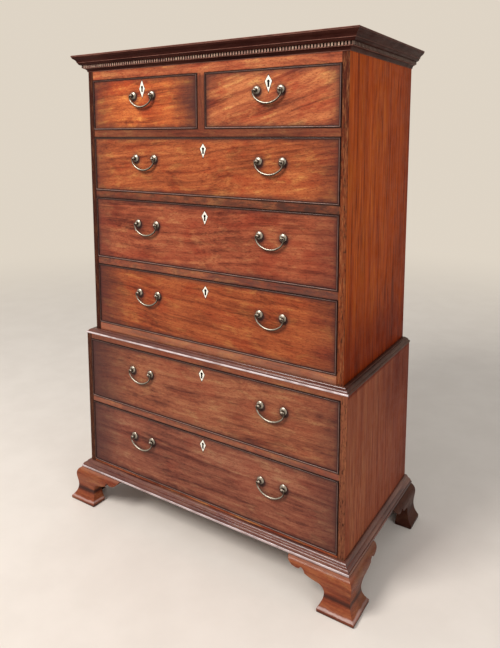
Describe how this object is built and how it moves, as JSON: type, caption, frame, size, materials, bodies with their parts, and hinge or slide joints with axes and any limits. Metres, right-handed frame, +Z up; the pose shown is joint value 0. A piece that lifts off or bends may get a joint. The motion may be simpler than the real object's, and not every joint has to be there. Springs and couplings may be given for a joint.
{
  "type": "chest on chest",
  "caption": "Tall mahogany double chest: a chest of long and short drawers standing on a wider chest of drawers, dentil cornice, brass swan-neck bails, bone escutcheons, ogee bracket feet.",
  "frame": {"origin": "on the floor, at the middle of the outline that the feet and the back enclose", "axes": "+Z up; the drawers open towards -Y; +X is to the right when facing the drawers"},
  "size_m": [1.128, 0.584, 1.616],
  "materials": {
    "mahogany": "waxed and worn, figured",
    "secondary_wood": "bare, darkened with age",
    "brass": "tarnished, worn bright on the edges"
  },
  "bodies": {
    "lower_case": {"lower_side_left": "mahogany", "lower_side_right": "mahogany", "lower_top_and_bottom_boards": "secondary_wood", "lower_back_boards": "secondary_wood", "lower_front_rails": "mahogany", "lower_runners": "secondary_wood", "base_moulding": "mahogany", "waist_moulding": "mahogany", "foot_front_left": "mahogany", "foot_front_right": "mahogany", "foot_rear_left": "mahogany", "foot_rear_right": "mahogany"},
    "upper_case": {"upper_side_left": "mahogany", "upper_side_right": "mahogany", "upper_top_and_bottom_boards": "secondary_wood", "upper_back_boards": "secondary_wood", "upper_front_rails": "mahogany", "upper_runners": "secondary_wood", "cornice": "mahogany", "cornice_dentils": "mahogany"},
    "drawer_1": {"drawer_1_front": "mahogany", "drawer_1_box": "secondary_wood", "drawer_1_brassware": "brass"},
    "drawer_1_lock_bolt": {"drawer_1_lock_bolt": "brass"},
    "drawer_1_bail": {"drawer_1_bail": "brass"},
    "drawer_2": {"drawer_2_front": "mahogany", "drawer_2_box": "secondary_wood", "drawer_2_brassware": "brass"},
    "drawer_2_lock_bolt": {"drawer_2_lock_bolt": "brass"},
    "drawer_2_bail": {"drawer_2_bail": "brass"},
    "drawer_3": {"drawer_3_front": "mahogany", "drawer_3_box": "secondary_wood", "drawer_3_brassware": "brass"},
    "drawer_3_lock_bolt": {"drawer_3_lock_bolt": "brass"},
    "drawer_3_bail_left": {"drawer_3_bail_left": "brass"},
    "drawer_3_bail_right": {"drawer_3_bail_right": "brass"},
    "drawer_4": {"drawer_4_front": "mahogany", "drawer_4_box": "secondary_wood", "drawer_4_brassware": "brass"},
    "drawer_4_lock_bolt": {"drawer_4_lock_bolt": "brass"},
    "drawer_4_bail_left": {"drawer_4_bail_left": "brass"},
    "drawer_4_bail_right": {"drawer_4_bail_right": "brass"},
    "drawer_5": {"drawer_5_front": "mahogany", "drawer_5_box": "secondary_wood", "drawer_5_brassware": "brass"},
    "drawer_5_lock_bolt": {"drawer_5_lock_bolt": "brass"},
    "drawer_5_bail_left": {"drawer_5_bail_left": "brass"},
    "drawer_5_bail_right": {"drawer_5_bail_right": "brass"},
    "drawer_6": {"drawer_6_front": "mahogany", "drawer_6_box": "secondary_wood", "drawer_6_brassware": "brass"},
    "drawer_6_lock_bolt": {"drawer_6_lock_bolt": "brass"},
    "drawer_6_bail_left": {"drawer_6_bail_left": "brass"},
    "drawer_6_bail_right": {"drawer_6_bail_right": "brass"},
    "drawer_7": {"drawer_7_front": "mahogany", "drawer_7_box": "secondary_wood", "drawer_7_brassware": "brass"},
    "drawer_7_lock_bolt": {"drawer_7_lock_bolt": "brass"},
    "drawer_7_bail_left": {"drawer_7_bail_left": "brass"},
    "drawer_7_bail_right": {"drawer_7_bail_right": "brass"}
  },
  "joints": [
    {"name": "upper_case_lift", "type": "slide", "parent": "lower_case", "child": "upper_case", "axis": [0, 0, 1], "range_m": [0, 0.15]},
    {"name": "drawer_1_slide", "type": "slide", "parent": "upper_case", "child": "drawer_1", "axis": [0, -1, 0], "range_m": [0, 0.38]},
    {"name": "drawer_1_lock_bolt_throw", "type": "slide", "parent": "drawer_1", "child": "drawer_1_lock_bolt", "axis": [0, 0, 1], "range_m": [0, 0.008]},
    {"name": "drawer_1_bail_swing", "type": "hinge", "parent": "drawer_1", "child": "drawer_1_bail", "pos_m": [-0.23925, -0.224, 1.475], "axis": [-1, 0, 0], "range_deg": [-8.5, 188.5]},
    {"name": "drawer_2_slide", "type": "slide", "parent": "upper_case", "child": "drawer_2", "axis": [0, -1, 0], "range_m": [0, 0.38]},
    {"name": "drawer_2_lock_bolt_throw", "type": "slide", "parent": "drawer_2", "child": "drawer_2_lock_bolt", "axis": [0, 0, 1], "range_m": [0, 0.008]},
    {"name": "drawer_2_bail_swing", "type": "hinge", "parent": "drawer_2", "child": "drawer_2_bail", "pos_m": [0.23925, -0.224, 1.473], "axis": [-1, 0, 0], "range_deg": [-8.5, 188.5]},
    {"name": "drawer_3_slide", "type": "slide", "parent": "upper_case", "child": "drawer_3", "axis": [0, -1, 0], "range_m": [0, 0.38]},
    {"name": "drawer_3_lock_bolt_throw", "type": "slide", "parent": "drawer_3", "child": "drawer_3_lock_bolt", "axis": [0, 0, 1], "range_m": [0, 0.008]},
    {"name": "drawer_3_bail_left_swing", "type": "hinge", "parent": "drawer_3", "child": "drawer_3_bail_left", "pos_m": [-0.234, -0.224, 1.27], "axis": [-1, 0, 0], "range_deg": [-8.5, 188.5]},
    {"name": "drawer_3_bail_right_swing", "type": "hinge", "parent": "drawer_3", "child": "drawer_3_bail_right", "pos_m": [0.246, -0.224, 1.27], "axis": [-1, 0, 0], "range_deg": [-8.5, 188.5]},
    {"name": "drawer_4_slide", "type": "slide", "parent": "upper_case", "child": "drawer_4", "axis": [0, -1, 0], "range_m": [0, 0.38]},
    {"name": "drawer_4_lock_bolt_throw", "type": "slide", "parent": "drawer_4", "child": "drawer_4_lock_bolt", "axis": [0, 0, 1], "range_m": [0, 0.008]},
    {"name": "drawer_4_bail_left_swing", "type": "hinge", "parent": "drawer_4", "child": "drawer_4_bail_left", "pos_m": [-0.23, -0.224, 1.052], "axis": [-1, 0, 0], "range_deg": [-8.5, 188.5]},
    {"name": "drawer_4_bail_right_swing", "type": "hinge", "parent": "drawer_4", "child": "drawer_4_bail_right", "pos_m": [0.25, -0.224, 1.052], "axis": [-1, 0, 0], "range_deg": [-8.5, 188.5]},
    {"name": "drawer_5_slide", "type": "slide", "parent": "upper_case", "child": "drawer_5", "axis": [0, -1, 0], "range_m": [0, 0.38]},
    {"name": "drawer_5_lock_bolt_throw", "type": "slide", "parent": "drawer_5", "child": "drawer_5_lock_bolt", "axis": [0, 0, 1], "range_m": [0, 0.008]},
    {"name": "drawer_5_bail_left_swing", "type": "hinge", "parent": "drawer_5", "child": "drawer_5_bail_left", "pos_m": [-0.23, -0.224, 0.8135], "axis": [-1, 0, 0], "range_deg": [-8.5, 188.5]},
    {"name": "drawer_5_bail_right_swing", "type": "hinge", "parent": "drawer_5", "child": "drawer_5_bail_right", "pos_m": [0.25, -0.224, 0.8135], "axis": [-1, 0, 0], "range_deg": [-8.5, 188.5]},
    {"name": "drawer_6_slide", "type": "slide", "parent": "lower_case", "child": "drawer_6", "axis": [0, -1, 0], "range_m": [0, 0.38]},
    {"name": "drawer_6_lock_bolt_throw", "type": "slide", "parent": "drawer_6", "child": "drawer_6_lock_bolt", "axis": [0, 0, 1], "range_m": [0, 0.008]},
    {"name": "drawer_6_bail_left_swing", "type": "hinge", "parent": "drawer_6", "child": "drawer_6_bail_left", "pos_m": [-0.249, -0.248, 0.542], "axis": [-1, 0, 0], "range_deg": [-8.5, 188.5]},
    {"name": "drawer_6_bail_right_swing", "type": "hinge", "parent": "drawer_6", "child": "drawer_6_bail_right", "pos_m": [0.269, -0.248, 0.542], "axis": [-1, 0, 0], "range_deg": [-8.5, 188.5]},
    {"name": "drawer_7_slide", "type": "slide", "parent": "lower_case", "child": "drawer_7", "axis": [0, -1, 0], "range_m": [0, 0.38]},
    {"name": "drawer_7_lock_bolt_throw", "type": "slide", "parent": "drawer_7", "child": "drawer_7_lock_bolt", "axis": [0, 0, 1], "range_m": [0, 0.008]},
    {"name": "drawer_7_bail_left_swing", "type": "hinge", "parent": "drawer_7", "child": "drawer_7_bail_left", "pos_m": [-0.247, -0.248, 0.301], "axis": [-1, 0, 0], "range_deg": [-8.5, 188.5]},
    {"name": "drawer_7_bail_right_swing", "type": "hinge", "parent": "drawer_7", "child": "drawer_7_bail_right", "pos_m": [0.271, -0.248, 0.301], "axis": [-1, 0, 0], "range_deg": [-8.5, 188.5]}
  ]
}
